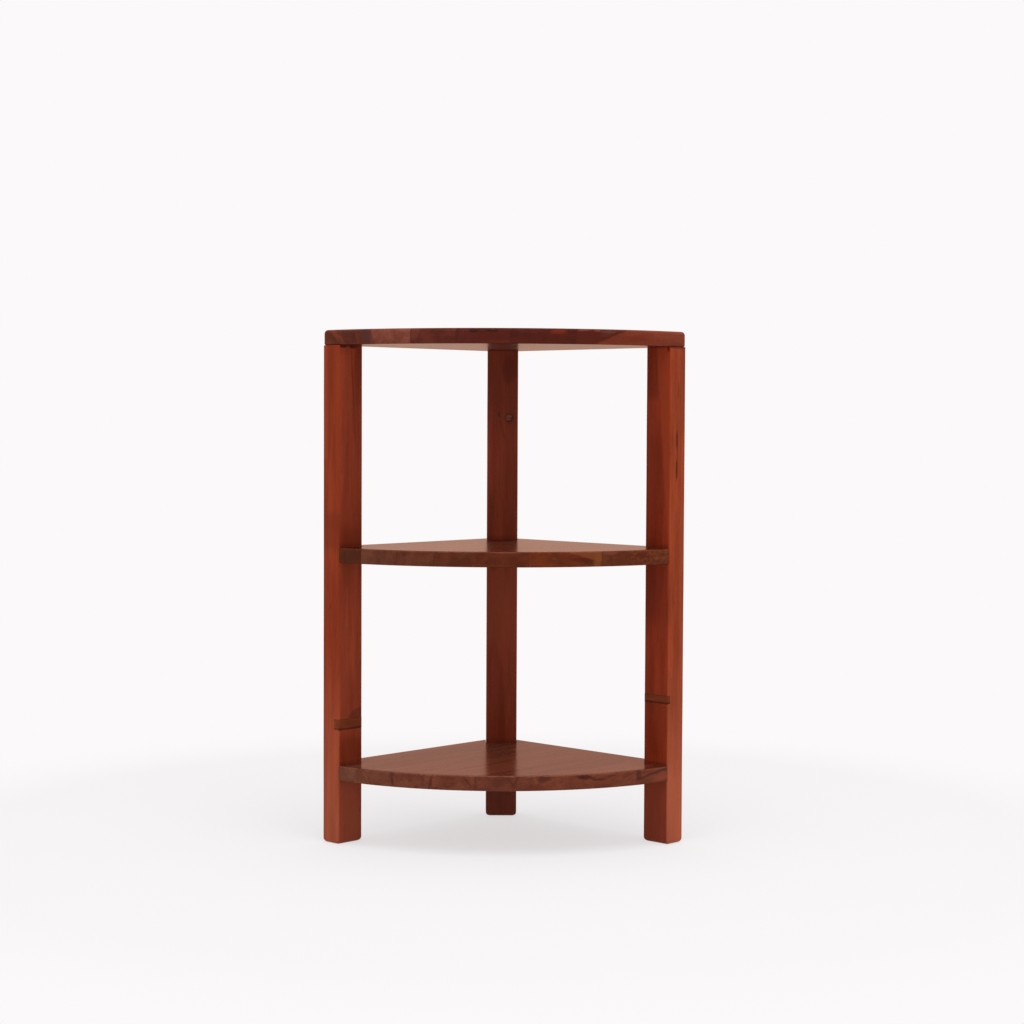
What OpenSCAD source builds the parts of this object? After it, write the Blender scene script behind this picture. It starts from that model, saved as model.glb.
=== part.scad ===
// Corner storage rack: three posts, a quarter-round top and two quarter-round shelves.
// The two straight sides lie against the walls of a room's corner and the round side faces the room.
// Every board is edge-glued from staves that run along the left wall.
// Frame: +X to the right, +Y towards the wall corner, +Z up, origin on the floor under the middle.

/* [Overall] */
// Length of each straight side, from the wall corner to the end face of a front post
arm = 305; // [280:1:380]
// Overall height, from the floor to the upper face of the top
rack_h = 610; // [540:1:900]
// Thickness of the top and of both shelves
board_t = 18; // [12:0.5:28]
// Height of the upper face of the bottom shelf
bottom_h = 94; // [50:1:125]
// Height of the upper face of the middle shelf
middle_h = 353; // [250:1:480]

/* [Posts] */
// Width of a post
post_w = 39; // [30:1:50]
// Thickness of a post
post_t = 28; // [20:1:36]
// Radius of the long edges of a post
post_round = 3; // [0.5:0.5:6]
// Radius of the edges round the foot of a post
foot_round = 5; // [0.5:0.5:8]
// Space between the walls and the rear edges of the back post
wall_gap = 0.5; // [0:0.5:10]
// Clearance round a post in the notch of a shelf
notch_gap = 0.15; // [0:0.05:0.5]

/* [Boards] */
// Widths of the staves of the top, from the left wall, before they are planed to fill the board
top_staves = [27, 46.5, 49.5, 48, 48, 46, 40]; // [20:0.5:80]
// Widths of the staves of the middle shelf, from the left wall, before they are planed
middle_staves = [61, 46, 42, 42, 43, 46, 25]; // [20:0.5:80]
// Widths of the staves of the bottom shelf, from the left wall, before they are planed
bottom_staves = [56, 46, 46, 44.5, 45.5, 67]; // [20:0.5:80]
// Thickness of the glue line between two staves
glue_line = 0.1; // [0:0.05:0.4]
// Radius of the upper edge of the top, all round
top_round = 4; // [0.5:0.25:5]
// Radius of all the other edges of the boards
board_round = 1.75; // [0.5:0.25:4]
// Radius of the two front corners of the top, seen from above
corner_round = 4; // [1:0.5:12]

/* [Filler strips] */
// Height of the lower side of the slot in the left post
left_slot_z = 136; // [130:1:200]
// Height of the slot in the left post
left_slot_h = 13; // [6:0.5:20]
// Depth of the slot in the left post
left_slot_depth = 7; // [2:0.5:12]
// Height of the lower side of the slot in the right post
right_slot_z = 168; // [130:1:220]
// Height of the slot in the right post
right_slot_h = 10; // [6:0.5:20]
// Depth of the slot in the right post
right_slot_depth = 3; // [2:0.5:12]
// Open line left under a filler strip
slot_line = 0.9; // [0.2:0.1:1.5]

/* [Plug] */
// Diameter of the wooden plug in the back post
plug_d = 9; // [5:0.5:12]
// Depth of the plug's hole
plug_depth = 10; // [4:0.5:16]
// Distance of the plug to the right of the middle of the back post
plug_side = 8; // [0:0.5:8]
// Distance of the plug below the top
plug_drop = 85; // [60:1:120]

/* [Dowels] */
// Diameter of a dowel between the top and a post
dowel_d = 8; // [5:0.5:10]
// Depth of a dowel in the end of a post
dowel_in_post = 18; // [12:1:24]
// Wood left above a dowel in the top
dowel_cover = 6; // [3:0.5:9]
// Distance between the two dowels of a post
dowel_pitch = 16; // [14:0.5:18]
// Length of the chamfer on the ends of a dowel
dowel_chamfer = 1; // [0.5:0.25:2]

/* [Screws] */
// Diameter of a shelf screw
screw_d = 4.5; // [3:0.5:6]
// Depth of a screw's thread in a shelf
screw_bite = 18; // [12:1:24]
// Diameter of a screw's countersunk head
head_d = 8.8; // [7:0.2:12]
// Depth of a screw's head below the face of the post
head_sink = 0.6; // [0.2:0.1:2]
// Length of a screw's point
point_l = 5; // [3:0.5:8]
// Width of a slot of the cross recess in a screw's head
recess_w = 1.1; // [0.6:0.1:1.4]
// Depth of the cross recess in a screw's head
recess_depth = 1.6; // [0.8:0.1:2]
// Radial clearance round a screw, a dowel or a plug
fit_gap = 0.05; // [0.02:0.01:0.1]

/* [Hidden] */
$fn = 96;
// Extra length of a cut past the surface that it leaves
past = 2;
// Length of the posts, which end under the top
post_l = rack_h - board_t;
// Distances from the wall corner to the rear and the front face of the back post
back_rear = post_w / 2 + wall_gap;
back_front = back_rear + post_t;
// Place of a front post's middle along its wall
post_mid = arm - post_w / 2;
// Sizes of a screw that follow from the others
head_h = (head_d - screw_d) / 2;
screw_l = post_t + screw_bite - head_sink;
recess_l = head_d * 0.55;
// Length of a dowel
dowel_l = dowel_in_post + board_t - dowel_cover;
// Air at each end of a dowel
dowel_air = 0.5;
// Colours of the timber, the fillers and the metal
post_red = [0.54, 0.25, 0.16];
board_brown = [0.45, 0.24, 0.17];
stave_shade = [0.9, 1, 0.93, 1.06, 0.97, 1.04, 0.95];
filler_brown = [0.36, 0.17, 0.11];
plug_brown = [0.4, 0.22, 0.15];
beech = [0.8, 0.65, 0.46];
zinc = [0.72, 0.71, 0.68];

// Frame of the wall corner: local X runs out along the left wall and local Y along the right wall.
module in_corner() {
    translate([0, arm / 2, 0]) rotate([0, 0, 225]) children();
}

// Frame of the wall corner with X and Y kept, for what stands square to the room's diagonal.
module from_corner() {
    translate([0, arm / 2, 0]) children();
}

// Swaps the left and the right wall inside the corner frame.
module other_wall() {
    mirror([1, -1, 0]) children();
}

// Rectangle with round corners, from the origin.
module round_rect(w, h, r) {
    translate([r, 0]) square([w - 2 * r, h]);
    translate([0, r]) square([w, h - 2 * r]);
    for (x = [r, w - r], y = [r, h - r]) translate([x, y]) circle(r);
}

// A post on the floor, with its width on X and its thickness on Y: round long edges and a round foot.
module post_blank() {
    tall = post_l + foot_round + past;
    intersection() {
        linear_extrude(post_l) round_rect(post_w, post_t, post_round);
        translate([0, post_t + past, 0]) rotate([90, 0, 0])
            linear_extrude(post_t + 2 * past) round_rect(post_w, tall, foot_round);
        translate([-past, 0, 0]) rotate([90, 0, 90])
            linear_extrude(post_w + 2 * past) round_rect(post_t, tall, foot_round);
    }
}

// The left post in the corner frame: its width lies along the left wall.
module front_post_blank() {
    translate([arm - post_w, 0, 0]) post_blank();
}

module back_post_blank() {
    translate([-post_w / 2, -back_front, 0]) post_blank();
}

// Space of a filler strip's slot in the inner face of the left post.
module filler_space(z, h, depth) {
    translate([arm - post_w - past, post_t - depth, z]) cube([post_w + 2 * past, depth + past, h]);
}

// A filler strip, planed flush with the post: it fills the slot but for the line under it.
module filler_strip(z, h, depth) {
    intersection() {
        front_post_blank();
        filler_space(z + slot_line, h - slot_line - fit_gap, depth - fit_gap);
    }
}

// A countersunk screw along +Z with its head at the origin, grown by g for its hole.
module screw_body(g) {
    r = screw_d / 2 + g;
    cylinder(h = head_h + g, r1 = head_d / 2 + g, r2 = r);
    cylinder(h = screw_l - point_l, r = r);
    translate([0, 0, screw_l - point_l]) cylinder(h = point_l, r1 = r, r2 = 0.2 + g);
}

module cross_recess() {
    for (turn = [0, 90]) rotate([0, 0, turn])
        translate([-recess_l / 2, -recess_w / 2, -past]) cube([recess_l, recess_w, recess_depth + past]);
}

module screw() {
    difference() {
        screw_body(0);
        cross_recess();
    }
}

module screw_hole() {
    screw_body(fit_gap);
    translate([0, 0, -head_sink - past]) cylinder(h = head_sink + past + fit_gap, r = head_d / 2 + fit_gap);
}

// One screw through each post into the shelf whose upper face is at z.
module at_left_screw(z) {
    translate([post_mid, head_sink, z - board_t / 2]) rotate([-90, 0, 0]) children();
}

module at_back_screw(z) {
    translate([0, -back_rear - head_sink, z - board_t / 2]) rotate([90, 0, 0]) children();
}

// The two dowels of a front post and of the back post, each from its lower end.
module at_front_dowels() {
    for (s = [-1, 1]) translate([post_mid + s * dowel_pitch / 2, post_t / 2, post_l - dowel_in_post])
        children();
}

module at_back_dowels() {
    for (s = [-1, 1]) translate([s * dowel_pitch / 2, -back_rear - post_t / 2, post_l - dowel_in_post])
        children();
}

module dowel() {
    r = dowel_d / 2;
    tip_r = r - dowel_chamfer / 2;
    cylinder(h = dowel_chamfer, r1 = tip_r, r2 = r);
    translate([0, 0, dowel_chamfer]) cylinder(h = dowel_l - 2 * dowel_chamfer, r = r);
    translate([0, 0, dowel_l - dowel_chamfer]) cylinder(h = dowel_chamfer, r1 = r, r2 = tip_r);
}

module dowel_hole() {
    translate([0, 0, -dowel_air]) cylinder(h = dowel_l + 2 * dowel_air, r = dowel_d / 2 + fit_gap);
}

module front_post_holes() {
    for (z = [bottom_h, middle_h]) at_left_screw(z) screw_hole();
    at_front_dowels() dowel_hole();
}

// Section of a board from the origin, with the radius of its upper and its lower edges.
module board_section(wide, upper, lower) {
    translate([0, lower]) square([wide, board_t - upper - lower]);
    translate([lower, 0]) square([wide - 2 * lower, board_t / 2]);
    translate([upper, board_t / 2]) square([wide - 2 * upper, board_t / 2]);
    for (x = [lower, wide - lower]) translate([x, lower]) circle(lower);
    for (x = [upper, wide - upper]) translate([x, board_t - upper]) circle(upper);
}

// Bar with the section of a board.
module board_bar(wide, upper) {
    linear_extrude(wide + past) board_section(wide, upper, board_round);
}

// Quarter disc of a board in the corner frame, with its round side and its straight sides eased.
module board_blank(upper) {
    wide = arm + 2 * upper + past;
    intersection() {
        rotate_extrude() intersection() {
            translate([-arm, 0]) board_section(2 * arm, upper, board_round);
            square([arm + past, board_t]);
        }
        translate([0, wide, 0]) rotate([90, 0, 0]) board_bar(wide, upper);
        translate([-past, 0, 0]) rotate([90, 0, 90]) board_bar(wide, upper);
    }
}

// Sum of the first n widths of a list of staves.
function width_of(staves, n) = n == 0 ? 0 : width_of(staves, n - 1) + staves[n - 1];

// Distance of the glue line after stave n from the left wall: the staves together fill the board.
function joint_at(staves, n) = arm * width_of(staves, n) / width_of(staves, len(staves));

// Strip that holds stave n of a board, with half a glue line off each glued side.
module stave_strip(staves, n) {
    from = n == 1 ? -past : joint_at(staves, n - 1) + glue_line / 2;
    to = n == len(staves) ? arm + past : joint_at(staves, n) - glue_line / 2;
    translate([-past, from, -past]) cube([arm + 2 * past, to - from, board_t + 2 * past]);
}

// What rounds the left front corner of the top, seen from above.
module corner_cut() {
    reach = arm - corner_round;
    along = sqrt(reach * reach - corner_round * corner_round);
    turn = asin(corner_round / reach);
    translate([0, 0, -past]) linear_extrude(board_t + 2 * past) difference() {
        polygon([
            [along, -past], [arm + past, -past],
            [(arm + past) * cos(turn), (arm + past) * sin(turn)], [along, corner_round]
        ]);
        translate([along, corner_round]) circle(corner_round);
    }
}

// Stave n of the top.
module top_stave(n) {
    color(board_brown * stave_shade[n - 1]) in_corner() difference() {
        translate([0, 0, post_l]) difference() {
            intersection() {
                board_blank(top_round);
                stave_strip(top_staves, n);
            }
            corner_cut();
            other_wall() corner_cut();
        }
        at_front_dowels() dowel_hole();
        other_wall() at_front_dowels() dowel_hole();
        rotate([0, 0, -225]) at_back_dowels() dowel_hole();
    }
}

// Notch of a shelf round the left post.
module front_notch() {
    translate([arm - post_w - notch_gap, -past, -past])
        cube([post_w + notch_gap + past, post_t + notch_gap + past, board_t + 2 * past]);
}

// Notch of a shelf round the back post, which takes the corner off too.
module back_notch() {
    half = post_w / 2 + notch_gap;
    translate([-half, -back_front - notch_gap, -past])
        cube([2 * half, back_front + notch_gap + past, board_t + 2 * past]);
}

// Stave n of a shelf whose upper face is at z.
module shelf_stave(staves, n, z) {
    color(board_brown * stave_shade[n - 1]) in_corner() difference() {
        translate([0, 0, z - board_t]) difference() {
            intersection() {
                board_blank(board_round);
                stave_strip(staves, n);
            }
            front_notch();
            other_wall() front_notch();
            rotate([0, 0, -225]) back_notch();
        }
        at_left_screw(z) screw_hole();
        other_wall() at_left_screw(z) screw_hole();
        rotate([0, 0, -225]) at_back_screw(z) screw_hole();
    }
}

module left_post() {
    color(post_red) in_corner() difference() {
        front_post_blank();
        front_post_holes();
        filler_space(left_slot_z, left_slot_h, left_slot_depth);
    }
}

module right_post() {
    color(post_red) in_corner() other_wall() difference() {
        front_post_blank();
        front_post_holes();
        filler_space(right_slot_z, right_slot_h, right_slot_depth);
    }
}

// Centre of the plug on the front face of the back post, with +Z into the wood.
module at_plug() {
    translate([plug_side, -back_front, post_l - plug_drop]) rotate([-90, 0, 0]) children();
}

module plug_hole() {
    translate([0, 0, -past]) cylinder(h = past + plug_depth + fit_gap, r = plug_d / 2 + fit_gap);
}

module back_post() {
    color(post_red) from_corner() difference() {
        back_post_blank();
        for (z = [bottom_h, middle_h]) at_back_screw(z) screw_hole();
        at_back_dowels() dowel_hole();
        at_plug() plug_hole();
    }
}

module top_stave_1() top_stave(1);
module top_stave_2() top_stave(2);
module top_stave_3() top_stave(3);
module top_stave_4() top_stave(4);
module top_stave_5() top_stave(5);
module top_stave_6() top_stave(6);
module top_stave_7() top_stave(7);
module middle_stave_1() shelf_stave(middle_staves, 1, middle_h);
module middle_stave_2() shelf_stave(middle_staves, 2, middle_h);
module middle_stave_3() shelf_stave(middle_staves, 3, middle_h);
module middle_stave_4() shelf_stave(middle_staves, 4, middle_h);
module middle_stave_5() shelf_stave(middle_staves, 5, middle_h);
module middle_stave_6() shelf_stave(middle_staves, 6, middle_h);
module middle_stave_7() shelf_stave(middle_staves, 7, middle_h);
module bottom_stave_1() shelf_stave(bottom_staves, 1, bottom_h);
module bottom_stave_2() shelf_stave(bottom_staves, 2, bottom_h);
module bottom_stave_3() shelf_stave(bottom_staves, 3, bottom_h);
module bottom_stave_4() shelf_stave(bottom_staves, 4, bottom_h);
module bottom_stave_5() shelf_stave(bottom_staves, 5, bottom_h);
module bottom_stave_6() shelf_stave(bottom_staves, 6, bottom_h);

module left_filler() {
    color(filler_brown) in_corner() filler_strip(left_slot_z, left_slot_h, left_slot_depth);
}

module right_filler() {
    color(filler_brown) in_corner() other_wall() filler_strip(right_slot_z, right_slot_h, right_slot_depth);
}

module post_plug() {
    color(plug_brown) from_corner() at_plug() cylinder(h = plug_depth, r = plug_d / 2);
}

module top_dowels() {
    color(beech) {
        in_corner() at_front_dowels() dowel();
        in_corner() other_wall() at_front_dowels() dowel();
        from_corner() at_back_dowels() dowel();
    }
}

module shelf_screws() {
    color(zinc) for (z = [bottom_h, middle_h]) {
        in_corner() at_left_screw(z) screw();
        in_corner() other_wall() at_left_screw(z) screw();
        from_corner() at_back_screw(z) screw();
    }
}

left_post();
right_post();
back_post();
top_stave_1();
top_stave_2();
top_stave_3();
top_stave_4();
top_stave_5();
top_stave_6();
top_stave_7();
middle_stave_1();
middle_stave_2();
middle_stave_3();
middle_stave_4();
middle_stave_5();
middle_stave_6();
middle_stave_7();
bottom_stave_1();
bottom_stave_2();
bottom_stave_3();
bottom_stave_4();
bottom_stave_5();
bottom_stave_6();
left_filler();
right_filler();
post_plug();
top_dowels();
shelf_screws();
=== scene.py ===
from collections import namedtuple
from math import cos, pi, radians, sin

import bmesh
import bpy
from mathutils import Matrix, Vector


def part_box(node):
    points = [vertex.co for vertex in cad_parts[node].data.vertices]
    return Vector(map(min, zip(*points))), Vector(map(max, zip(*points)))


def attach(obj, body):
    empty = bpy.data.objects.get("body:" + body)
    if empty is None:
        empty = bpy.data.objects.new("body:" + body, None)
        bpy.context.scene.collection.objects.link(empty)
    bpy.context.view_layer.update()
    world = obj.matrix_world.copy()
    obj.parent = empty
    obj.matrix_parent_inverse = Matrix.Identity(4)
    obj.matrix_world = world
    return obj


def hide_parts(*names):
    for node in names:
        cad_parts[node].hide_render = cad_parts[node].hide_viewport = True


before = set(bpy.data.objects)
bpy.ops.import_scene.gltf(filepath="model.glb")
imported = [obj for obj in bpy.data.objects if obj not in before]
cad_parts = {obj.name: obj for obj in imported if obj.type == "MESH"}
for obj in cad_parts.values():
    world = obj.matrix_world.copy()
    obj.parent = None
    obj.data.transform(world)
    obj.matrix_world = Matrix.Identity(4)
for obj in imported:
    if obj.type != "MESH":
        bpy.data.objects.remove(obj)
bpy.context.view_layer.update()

MM = 0.001

# Sizes of the rack, in metres, as its construction has them
ARM = 305 * MM
NOTCH_GAP = 0.15 * MM
POST_ROUND = 3 * MM
FOOT_ROUND = 5 * MM
BOARD_ROUND = 1.75 * MM
SLOT_LINE = 0.9 * MM

# Sizes of the finish. The top is rounded a little more than in the construction.
TOP_ROUND = 4.6 * MM
CORNER_ROUND = 5 * MM
POST_END_ROUND = 0.25 * MM
FILLER_ROUND = 0.3 * MM
LINE_DEPTH = 1.2 * MM
HOLLOW_DEPTH = 0.25 * MM
HOLLOW_SPREAD = 70 * MM
SMOOTH_BELOW = radians(32)
ROD_SIDES = 32
RIM_SIDES = 360

# How far a cutter reaches past a surface, how far two cuts overlap, and how near a place counts as met
PAST = 4 * MM
OVERLAP = 0.1 * MM
NEAR = 0.1 * MM

# The corner frame: X runs out along the left wall, Y along the right wall, and Z up
CORNER = Matrix.Translation((0, ARM / 2, 0)) @ Matrix.Rotation(radians(225), 4, "Z")
ROOM = Matrix.Identity(4)

# The boards, and how many staves each one has
BOARDS = {"top": 7, "middle": 7, "bottom": 6}


def node_box(node, space=ROOM):
    """Lowest and highest corner of a CAD node, measured along the axes of a frame"""
    inward = space.inverted()
    points = [inward @ v.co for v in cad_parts[node].data.vertices]
    return Vector(map(min, *points)), Vector(map(max, *points))


# Modelling by hand

def pick_up(piece):
    """Makes a piece the only one that the tools work on"""
    bpy.ops.object.select_all(action="DESELECT")
    piece.select_set(True)
    bpy.context.view_layer.objects.active = piece


def fix_place():
    """Keeps the place, turn and size of the piece at hand in its mesh"""
    bpy.ops.object.transform_apply(location=True, rotation=True, scale=True)


def work(piece, tool, **settings):
    """Gives a piece a modifier with these settings, and applies it"""
    pick_up(piece)
    modifier = piece.modifiers.new(tool.lower(), tool)
    for name, value in settings.items():
        setattr(modifier, name, value)
    bpy.ops.object.modifier_apply(modifier=modifier.name)


def open_piece(piece, mode):
    """Opens a piece for editing, with nothing in it selected"""
    pick_up(piece)
    bpy.ops.object.mode_set(mode="EDIT")
    bpy.ops.mesh.select_mode(type=mode)
    bpy.ops.mesh.select_all(action="DESELECT")


def close_piece():
    bpy.ops.object.mode_set(mode="OBJECT")


def pick(piece, parts, test):
    """Selects the edges or the faces of an open piece that pass a test"""
    mesh = bmesh.from_edit_mesh(piece.data)
    for part in getattr(mesh, parts):
        if test(part):
            part.select_set(True)
    bmesh.update_edit_mesh(piece.data)


def block(name, low, high):
    """Adds a plain block between two corners"""
    bpy.ops.object.select_all(action="DESELECT")
    low, high = Vector(low), Vector(high)
    bpy.ops.mesh.primitive_cube_add(size=1, location=(low + high) / 2, scale=high - low)
    piece = bpy.context.object
    piece.name = name
    fix_place()
    return piece


def carry(piece, space):
    """Takes a piece that was modelled in a frame to its place in the room, and keeps the place in its mesh"""
    pick_up(piece)
    piece.matrix_world = space
    fix_place()
    return piece


def ease(piece, test, radius, segments=6):
    """Rounds the edges that pass a test"""
    open_piece(piece, "EDGE")
    pick(piece, "edges", test)
    bpy.ops.mesh.bevel(offset=radius, offset_type="OFFSET", segments=segments, profile=0.5, affect="EDGES")
    close_piece()


def is_upright(edge):
    """Whether an edge is one of the long ones that stand straight up"""
    a, b = edge.verts
    return abs(a.co.z - b.co.z) > 5 * MM and (a.co.xy - b.co.xy).length < 0.01 * MM


def is_rim(edge, side):
    """Whether an edge bounds the upper (side 1) or the lower (side -1) face of a piece"""
    slopes = sorted(face.normal.z * side for face in edge.link_faces)
    return len(slopes) == 2 and slopes[1] > 0.99 and slopes[0] < 0.5


def cut(piece, *cutters):
    """Takes the shapes of the cutters out of a piece, and then the cutters away"""
    for cutter in cutters:
        work(piece, "BOOLEAN", solver="EXACT", object=cutter)
        bpy.data.objects.remove(cutter)


def saw_across(piece, point, normal, drop=False):
    """Saws through a piece along a plane, and drops what lies beyond it if that is asked"""
    open_piece(piece, "FACE")
    bpy.ops.mesh.select_all(action="SELECT")
    bpy.ops.mesh.bisect(plane_co=point, plane_no=normal, use_fill=drop, clear_outer=drop)
    close_piece()


def rod(radii, depths, place, along):
    """Adds a turned piece: its radius at each depth below the place, along a direction"""
    bpy.ops.object.select_all(action="DESELECT")
    bpy.ops.mesh.primitive_circle_add(
        vertices=ROD_SIDES, radius=radii[0], fill_type="NGON", location=(0, 0, depths[0]))
    piece = bpy.context.object
    fix_place()
    open_piece(piece, "FACE")
    bpy.ops.mesh.select_all(action="SELECT")
    for n in range(1, len(radii)):
        bpy.ops.mesh.extrude_region_move(TRANSFORM_OT_translate={"value": (0, 0, depths[n] - depths[n - 1])})
        ratio = radii[n] / radii[n - 1]
        bpy.ops.transform.resize(value=(ratio, ratio, 1), center_override=(0, 0, depths[n]))
    bpy.ops.mesh.select_all(action="SELECT")
    bpy.ops.mesh.normals_make_consistent(inside=False)
    close_piece()
    turn = Vector((0, 0, 1)).rotation_difference(Vector(along)).to_matrix().to_4x4()
    return carry(piece, Matrix.Translation(place) @ turn)


def spindle(place, radii):
    """Adds a cutter for a crack: a long thin drop"""
    bpy.ops.object.select_all(action="DESELECT")
    bpy.ops.mesh.primitive_uv_sphere_add(segments=16, ring_count=12, radius=1, location=place, scale=radii)
    fix_place()
    return bpy.context.object


def sand_by_hand(piece):
    """Gives long faces the slight hollows that hand sanding leaves"""
    hollows = bpy.data.textures.get("hollows") or bpy.data.textures.new("hollows", "CLOUDS")
    hollows.noise_scale = HOLLOW_SPREAD
    work(piece, "DISPLACE", texture=hollows, texture_coords="LOCAL", mid_level=0, strength=-HOLLOW_DEPTH)


def finish_piece(piece, node, material):
    """Shades a piece smoothly, dresses it and lets it stand for its CAD node"""
    pick_up(piece)
    bpy.ops.object.shade_smooth_by_angle(angle=SMOOTH_BELOW)
    work(piece, "WEIGHTED_NORMAL", keep_sharp=True)
    piece.data.materials.clear()
    piece.data.materials.append(material)
    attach(piece, "root")
    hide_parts(node)


# Holes for the screws and the dowels, with their clearance

HEAD_R = 4.45 * MM
SHANK_R = 2.3 * MM
HEAD_SINK = 0.6 * MM
HEAD_H = 2.2 * MM
DOWEL_R = 4.05 * MM
DOWEL_PITCH = 16 * MM
SCREW_BITE = 18 * MM
DOWEL_DEPTH = 18.5 * MM
DOWEL_COVER = 6 * MM


def shelf_middles():
    """Heights at which screws run into the two shelves"""
    return [sum(c.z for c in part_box(f"{board}_stave_1")) / 2 for board in ("bottom", "middle")]


def screw_cutter(place, along, depth):
    """Cutter for a countersunk screw that starts at a face"""
    radii = [HEAD_R, HEAD_R, SHANK_R, SHANK_R]
    return rod(radii, [-PAST, HEAD_SINK, HEAD_SINK + HEAD_H, depth], place, along)


def screw_places():
    """Frame, point on the outer face and direction of each post's two screws, by post"""
    left_low, left_high = node_box("left_post", CORNER)
    right_low, right_high = node_box("right_post", CORNER)
    back_high = node_box("back_post")[1]
    places = {}
    for post, space, x, y, along in (
        ("left_post", CORNER, (left_low.x + left_high.x) / 2, left_low.y, (0, 1, 0)),
        ("right_post", CORNER, right_low.x, (right_low.y + right_high.y) / 2, (1, 0, 0)),
        ("back_post", ROOM, 0, back_high.y, (0, -1, 0)),
    ):
        places[post] = [(space, Vector((x, y, z)), Vector(along)) for z in shelf_middles()]
    return places


def dowel_places():
    """Frame and middle of each post's end, and the direction in which its two dowels are set out"""
    left, right, back = node_box("left_post", CORNER), node_box("right_post", CORNER), node_box("back_post")
    return {
        "left_post": (CORNER, (left[0] + left[1]) / 2, Vector((1, 0, 0))),
        "right_post": (CORNER, (right[0] + right[1]) / 2, Vector((0, 1, 0))),
        "back_post": (ROOM, (back[0] + back[1]) / 2, Vector((1, 0, 0))),
    }


def dowel_cutters(post, low, high):
    """Cutters for the two dowels of a post, between two heights"""
    space, middle, across = dowel_places()[post]
    tools = []
    for side in (-0.5, 0.5):
        point = middle + across * side * DOWEL_PITCH
        tools.append((space, rod([DOWEL_R, DOWEL_R], [low, high], (point.x, point.y, 0), (0, 0, 1))))
    return tools


# Posts

# Rows and columns of cuts that let sanding bend a post's faces
SAWN_ROWS = 24
SAWN_COLUMNS = 3
# Steps in which a foot is drawn in, and the share of its rounding that it is drawn in by
FOOT_RINGS = 6
FOOT_DRAW = 0.92
# The most of a filler strip's depth that its rounding takes
MOST_ROUND = 0.95


def shape_post(node, space):
    """A post with eased long edges, a rounded foot, rows of cuts, and its screw and dowel holes"""
    low, high = node_box(node, space)
    middle, half = (low + high) / 2, (high - low) / 2
    foot = low.z + FOOT_ROUND
    post = block(f"{node}_timber", (low.x, low.y, foot), high)
    ease(post, is_upright, POST_ROUND)
    ease(post, lambda edge: is_rim(edge, 1), POST_END_ROUND, 2)
    round_foot(post, middle, half, foot)
    for n in range(1, SAWN_ROWS):
        saw_across(post, (0, 0, foot + (2 * half.z - FOOT_ROUND) * n / SAWN_ROWS), (0, 0, 1))
    for n in range(1, SAWN_COLUMNS + 1):
        share = n / (SAWN_COLUMNS + 1) * 2 - 1
        saw_across(post, (middle.x + share * (half.x - POST_ROUND), 0, 0), (1, 0, 0))
        saw_across(post, (0, middle.y + share * (half.y - POST_ROUND), 0), (0, 1, 0))
    for _, place, along in screw_places()[node]:
        cut(post, screw_cutter(place, along, 2 * max(half.x, half.y)))
    for _, tool in dowel_cutters(node, high.z - DOWEL_DEPTH, high.z + PAST):
        cut(post, tool)
    return post


def round_foot(post, middle, half, start):
    """Draws the lower end of a post in, ring by ring"""
    open_piece(post, "FACE")
    pick(post, "faces", lambda face: face.normal.z < -0.99)
    sunk, drawn = 0, 0
    for ring in range(1, FOOT_RINGS + 1):
        turn = pi / 2 * ring / FOOT_RINGS
        depth, inset = FOOT_ROUND * sin(turn), FOOT_ROUND * (1 - cos(turn)) * FOOT_DRAW
        bpy.ops.mesh.extrude_region_move(TRANSFORM_OT_translate={"value": (0, 0, sunk - depth)})
        shrink = ((half.x - inset) / (half.x - drawn), (half.y - inset) / (half.y - drawn), 1)
        bpy.ops.transform.resize(value=shrink, center_override=(middle.x, middle.y, start - depth))
        sunk, drawn = depth, inset
    close_piece()


def long_axis(low, high):
    """Whether a filler strip runs along X (0) or along Y (1) of the corner frame"""
    return 0 if high.x - low.x > high.y - low.y else 1


def slot_cutters(filler):
    """Cutters for the slot of a filler strip, and for the open line that shows under the strip"""
    low, high = node_box(filler, CORNER)
    post_low, post_high = node_box(filler.replace("filler", "post"), CORNER)
    along = long_axis(low, high)
    deep = 1 - along
    low[along], high[along] = post_low[along] - PAST, post_high[along] + PAST
    face = high[deep]
    high[deep] = face + PAST
    slot = block("slot", low, high)
    high.z, low.z = low.z + OVERLAP, low.z - SLOT_LINE
    low[deep] = face - LINE_DEPTH
    return slot, block("line", low, high)


def shape_filler(node):
    """A filler strip, planed flush with the eased edges of its post"""
    low, high = node_box(node, CORNER)
    strip = block(f"{node}_strip", low, high)
    deep = 1 - long_axis(low, high)
    face = high[deep]
    ease(strip, lambda edge: is_upright(edge) and abs(edge.verts[0].co[deep] - face) < NEAR,
         min(POST_ROUND, (high - low)[deep] * MOST_ROUND))
    ease(strip, lambda edge: is_rim(edge, 1) or is_rim(edge, -1), FILLER_ROUND, 2)
    return strip


# Boards

def shape_board(board, upper_round, corner_round):
    """A whole quarter-round board in the corner frame, with its edges eased and its holes and notches cut"""
    low, high = node_box(f"{board}_stave_1", CORNER)
    middle_z = (low.z + high.z) / 2
    bpy.ops.object.select_all(action="DESELECT")
    bpy.ops.mesh.primitive_cylinder_add(
        vertices=RIM_SIDES, radius=ARM, depth=high.z - low.z, end_fill_type="NGON", location=(0, 0, middle_z))
    slab = bpy.context.object
    fix_place()
    saw_across(slab, (0, 0, 0), (-1, 0, 0), drop=True)
    saw_across(slab, (0, 0, 0), (0, -1, 0), drop=True)
    if corner_round:
        ease(slab, lambda edge: is_upright(edge) and is_tip(edge.verts[0].co), corner_round)
    ease(slab, lambda edge: is_rim(edge, 1), upper_round, 5)
    ease(slab, lambda edge: is_rim(edge, -1), BOARD_ROUND, 4)
    if board == "top":
        bore_for_dowels(slab, low.z, high.z)
    else:
        cut_notches(slab, low.z, high.z)
        bore_for_screws(slab, middle_z)
    return slab


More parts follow.
